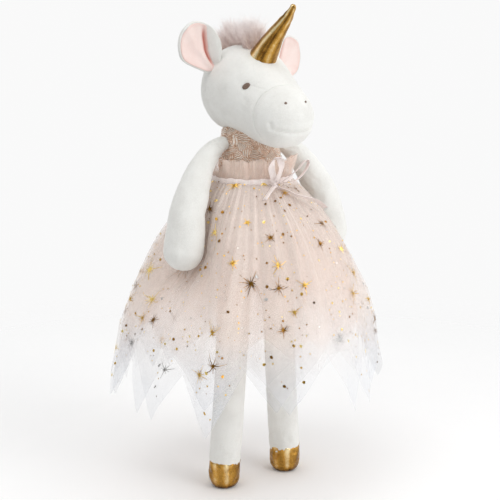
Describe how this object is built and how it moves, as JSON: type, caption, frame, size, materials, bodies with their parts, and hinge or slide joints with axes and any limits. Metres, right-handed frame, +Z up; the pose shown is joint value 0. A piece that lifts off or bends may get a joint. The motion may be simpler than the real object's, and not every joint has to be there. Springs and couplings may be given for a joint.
{
  "type": "plush unicorn doll",
  "caption": "Long-legged plush unicorn doll in a layered, handkerchief-hemmed tulle skirt; head turns and nods, arms raise, legs swing forward to sit.",
  "frame": {"origin": "on the floor, under the middle of the skirt's round outline", "axes": "+Z up, the doll faces -Y, and its own left side is +X"},
  "size_m": [0.2392, 0.2392, 0.4534],
  "materials": {
    "white_plush": "short velvety pile, matt",
    "pink_plush": "short velvety pile, matt",
    "long_pile": "long faux fur, soft sheen",
    "gold_lame": "metallic foil cloth, glossy and creased",
    "rose_foil": "crinkled rose-gold foil cloth, half gloss",
    "tulle": "sheer blush net with gold foil stars",
    "lining_tulle": "sheer blush net, several gathered layers",
    "satin": "pale pink satin ribbon, soft gloss",
    "brown_thread": "embroidery thread, slight sheen",
    "white_thread": "cotton thread, matt",
    "elastic": "braided elastic, matt",
    "stuffing": "polyester fibre, matt"
  },
  "bodies": {
    "head": {"head_shell": "white_plush", "head_stuffing": "stuffing", "muzzle_shell": "white_plush", "ear_left_back": "white_plush", "ear_left_lining": "pink_plush", "ear_right_back": "white_plush", "ear_right_lining": "pink_plush", "horn_shell": "gold_lame", "horn_stuffing": "stuffing", "mane": "long_pile", "eye_left": "brown_thread", "eye_right": "brown_thread", "nostril_left": "brown_thread", "nostril_right": "brown_thread", "mouth_stitch": "white_thread"},
    "neck": {"neck_stuffing": "stuffing"},
    "torso": {"bodice_shell": "rose_foil", "hip_shell": "white_plush", "torso_stuffing": "stuffing", "waist_elastic": "elastic", "waist_frill": "tulle", "skirt_front_left": "tulle", "skirt_front_right": "tulle", "skirt_back_left": "tulle", "skirt_back_right": "tulle", "underskirt_left": "tulle", "underskirt_right": "tulle", "lining_left": "lining_tulle", "lining_right": "lining_tulle", "ribbon_band": "satin", "bow_knot": "satin", "bow_loop_left": "satin", "bow_loop_right": "satin", "ribbon_tail_left": "satin", "ribbon_tail_right": "satin"},
    "arm_left": {"arm_left_shell": "white_plush", "arm_left_stuffing": "stuffing"},
    "arm_right": {"arm_right_shell": "white_plush", "arm_right_stuffing": "stuffing"},
    "leg_left": {"leg_left_shell": "white_plush", "leg_left_stuffing": "stuffing", "hoof_left": "gold_lame"},
    "leg_right": {"leg_right_shell": "white_plush", "leg_right_stuffing": "stuffing", "hoof_right": "gold_lame"}
  },
  "joints": [
    {"name": "head_turn", "type": "hinge", "parent": "torso", "child": "neck", "pos_m": [0, 0.005, 0.336], "axis": [0, 0, 1], "range_deg": [-30, 30]},
    {"name": "head_nod", "type": "hinge", "parent": "neck", "child": "head", "pos_m": [0, 0.005, 0.336], "axis": [1, 0, 0], "range_deg": [-12, 5]},
    {"name": "arm_left_raise", "type": "hinge", "parent": "torso", "child": "arm_left", "pos_m": [0.0388, 0, 0.322], "axis": [0, -1, 0], "range_deg": [0, 92]},
    {"name": "arm_right_raise", "type": "hinge", "parent": "torso", "child": "arm_right", "pos_m": [-0.0388, 0, 0.322], "axis": [0, 1, 0], "range_deg": [0, 92]},
    {"name": "leg_left_swing", "type": "hinge", "parent": "torso", "child": "leg_left", "pos_m": [0.021, -0.008, 0.25], "axis": [-1, 0, 0], "range_deg": [-20, 90], "deforming": ["skirt_front_left", "skirt_back_left", "underskirt_left", "lining_left"]},
    {"name": "leg_right_swing", "type": "hinge", "parent": "torso", "child": "leg_right", "pos_m": [-0.021, -0.008, 0.25], "axis": [-1, 0, 0], "range_deg": [-20, 90], "deforming": ["skirt_front_right", "skirt_back_right", "underskirt_right", "lining_right"]}
  ]
}
